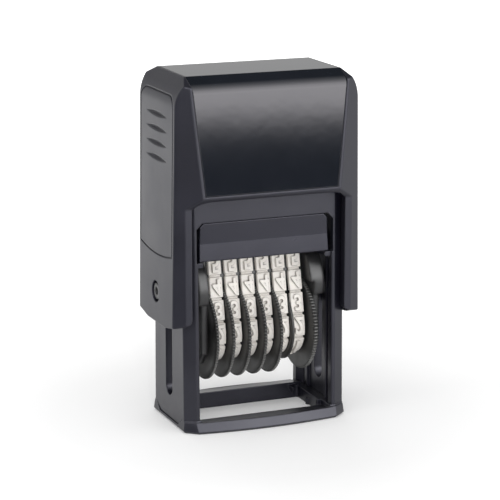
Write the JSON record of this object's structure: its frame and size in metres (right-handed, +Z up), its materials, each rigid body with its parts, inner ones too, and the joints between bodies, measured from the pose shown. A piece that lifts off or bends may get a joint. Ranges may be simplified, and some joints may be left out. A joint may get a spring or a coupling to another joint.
{
  "type": "self-inking numbering stamp",
  "caption": "Self-inking hand stamp with a push-down cap, slotted frame and foot, ink cartridge, and a flip-over unit of number wheels with rubber digit bands.",
  "frame": {"origin": "on the paper under the middle of the foot", "axes": "+Z up, along the cap's travel; +X across the digits to the right seen from the front; -Y is the front"},
  "size_m": [0.0466, 0.0294, 0.083],
  "materials": {
    "cap_plastic": "fine satin grain",
    "cover_gloss": "polished black",
    "card": "matt black card",
    "frame_plastic": "satin",
    "foot_plastic": "satin",
    "cartridge_plastic": "satin",
    "pad_felt": "ink-soaked felt",
    "band_rubber": "pale matt rubber",
    "wheel_plastic": "matt black",
    "unit_plastic": "matt black",
    "spring_steel": "drawn wire"
  },
  "bodies": {
    "frame": {"frame_housing": "frame_plastic", "foot_ring": "foot_plastic"},
    "cartridge": {"cartridge_tray": "cartridge_plastic", "ink_pad": "pad_felt"},
    "cap": {"cap_shell": "cap_plastic", "return_spring": "spring_steel"},
    "cover": {"index_cover": "cover_gloss", "index_card": "card"},
    "number_unit": {"carrier_left_cheek": "unit_plastic", "carrier_right_cheek": "unit_plastic", "print_bar": "unit_plastic", "detent_comb": "unit_plastic", "wheel_axle": "spring_steel", "pivot_pin_left": "unit_plastic", "pivot_pin_right": "unit_plastic", "guide_pin_left": "unit_plastic", "guide_pin_right": "unit_plastic", "number_band_1": "band_rubber", "number_band_2": "band_rubber", "number_band_3": "band_rubber", "number_band_4": "band_rubber", "number_band_5": "band_rubber", "number_band_6": "band_rubber"},
    "wheel_1": {"number_wheel_1": "wheel_plastic"},
    "wheel_2": {"number_wheel_2": "wheel_plastic"},
    "wheel_3": {"number_wheel_3": "wheel_plastic"},
    "wheel_4": {"number_wheel_4": "wheel_plastic"},
    "wheel_5": {"number_wheel_5": "wheel_plastic"},
    "wheel_6": {"number_wheel_6": "wheel_plastic"}
  },
  "joints": [
    {"name": "cap_slide", "type": "slide", "parent": "frame", "child": "cap", "axis": [0, 0, -1], "range_m": [0, 0.0214], "stiffness_N_per_m": 300, "springref_m": -0.01, "deforming": ["return_spring"]},
    {"name": "unit_flip", "type": "hinge", "parent": "cap", "child": "number_unit", "pos_m": [0, 0, 0.0319], "axis": [1, 0, 0], "range_deg": [0, 180.5]},
    {"name": "cartridge_slide", "type": "slide", "parent": "frame", "child": "cartridge", "axis": [0, 1, 0], "range_m": [-0.03, 0]},
    {"name": "cover_lift", "type": "slide", "parent": "cap", "child": "cover", "axis": [0, 0, 1], "range_m": [0, 0.03]},
    {"name": "wheel_1_turn", "type": "hinge", "parent": "number_unit", "child": "wheel_1", "pos_m": [0, 0, 0.021], "axis": [1, 0, 0], "continuous": true},
    {"name": "wheel_2_turn", "type": "hinge", "parent": "number_unit", "child": "wheel_2", "pos_m": [0, 0, 0.021], "axis": [1, 0, 0], "continuous": true},
    {"name": "wheel_3_turn", "type": "hinge", "parent": "number_unit", "child": "wheel_3", "pos_m": [0, 0, 0.021], "axis": [1, 0, 0], "continuous": true},
    {"name": "wheel_4_turn", "type": "hinge", "parent": "number_unit", "child": "wheel_4", "pos_m": [0, 0, 0.021], "axis": [1, 0, 0], "continuous": true},
    {"name": "wheel_5_turn", "type": "hinge", "parent": "number_unit", "child": "wheel_5", "pos_m": [0, 0, 0.021], "axis": [1, 0, 0], "continuous": true},
    {"name": "wheel_6_turn", "type": "hinge", "parent": "number_unit", "child": "wheel_6", "pos_m": [0, 0, 0.021], "axis": [1, 0, 0], "continuous": true}
  ],
  "couplings": [
    {"joint": "unit_flip", "follows": "cap_slide", "rad_per_m": 146.8}
  ]
}
